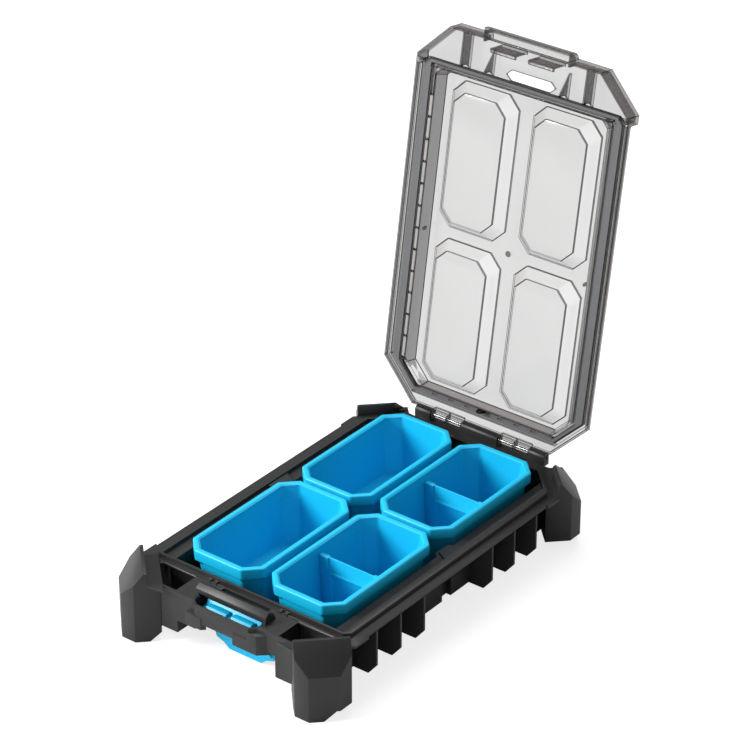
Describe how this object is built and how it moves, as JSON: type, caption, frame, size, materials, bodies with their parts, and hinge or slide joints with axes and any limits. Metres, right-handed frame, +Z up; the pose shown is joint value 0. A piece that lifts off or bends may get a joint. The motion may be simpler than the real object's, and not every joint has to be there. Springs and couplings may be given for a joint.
{
  "type": "compartment organizer",
  "caption": "Low lidded case with lift-out bins and dividers under a clear hinged lid with a seal, snap hooks, ribbed sides, corner feet and a rocking stacking catch.",
  "frame": {"origin": "on the ground, at the middle of the four feet", "axes": "+Z up, +X to the right seen from the front, +Y to the back, where the hinge is"},
  "size_m": [0.292, 0.54, 0.5193],
  "materials": {
    "case_black": "soft satin, moulded",
    "lid_clear": "smoky clear plastic, polished",
    "gasket": "matt, soft",
    "steel": "bright drawn",
    "bin_blue": "satin, moulded"
  },
  "bodies": {
    "case": {"base_tray": "case_black", "hinge_pin_left": "steel", "hinge_pin_right": "steel", "lever_pin": "steel"},
    "lid": {"lid": "lid_clear", "lid_gasket": "gasket"},
    "lever": {"stack_lever": "bin_blue"},
    "bin_front_left": {"bin_front_left": "bin_blue"},
    "bin_front_right": {"bin_front_right": "bin_blue"},
    "bin_back_left": {"bin_back_left": "bin_blue"},
    "bin_back_right": {"bin_back_right": "bin_blue"},
    "divider_front": {"divider_front": "bin_blue"},
    "divider_back": {"divider_back": "bin_blue"}
  },
  "joints": [
    {"name": "lid_hinge", "type": "hinge", "parent": "case", "child": "lid", "pos_m": [0, 0.2246, 0.0767], "axis": [1, 0, 0], "range_deg": [0, 99.25]},
    {"name": "lever_rock", "type": "hinge", "parent": "case", "child": "lever", "pos_m": [0, -0.193, 0.04], "axis": [1, 0, 0], "range_deg": [0, 8], "stiffness_Nm_per_rad": 0.4, "springref_deg": -11.46},
    {"name": "lift_bin_front_left", "type": "slide", "parent": "case", "child": "bin_front_left", "axis": [0, 0, -1], "range_m": [-0.075, 0]},
    {"name": "lift_bin_front_right", "type": "slide", "parent": "case", "child": "bin_front_right", "axis": [0, 0, -1], "range_m": [-0.075, 0]},
    {"name": "lift_bin_back_left", "type": "slide", "parent": "case", "child": "bin_back_left", "axis": [0, 0, -1], "range_m": [-0.075, 0]},
    {"name": "lift_bin_back_right", "type": "slide", "parent": "case", "child": "bin_back_right", "axis": [0, 0, -1], "range_m": [-0.075, 0]},
    {"name": "lift_divider_front", "type": "slide", "parent": "bin_front_right", "child": "divider_front", "axis": [0, 0, -1], "range_m": [-0.065, 0]},
    {"name": "lift_divider_back", "type": "slide", "parent": "bin_back_right", "child": "divider_back", "axis": [0, 0, -1], "range_m": [-0.065, 0]}
  ]
}
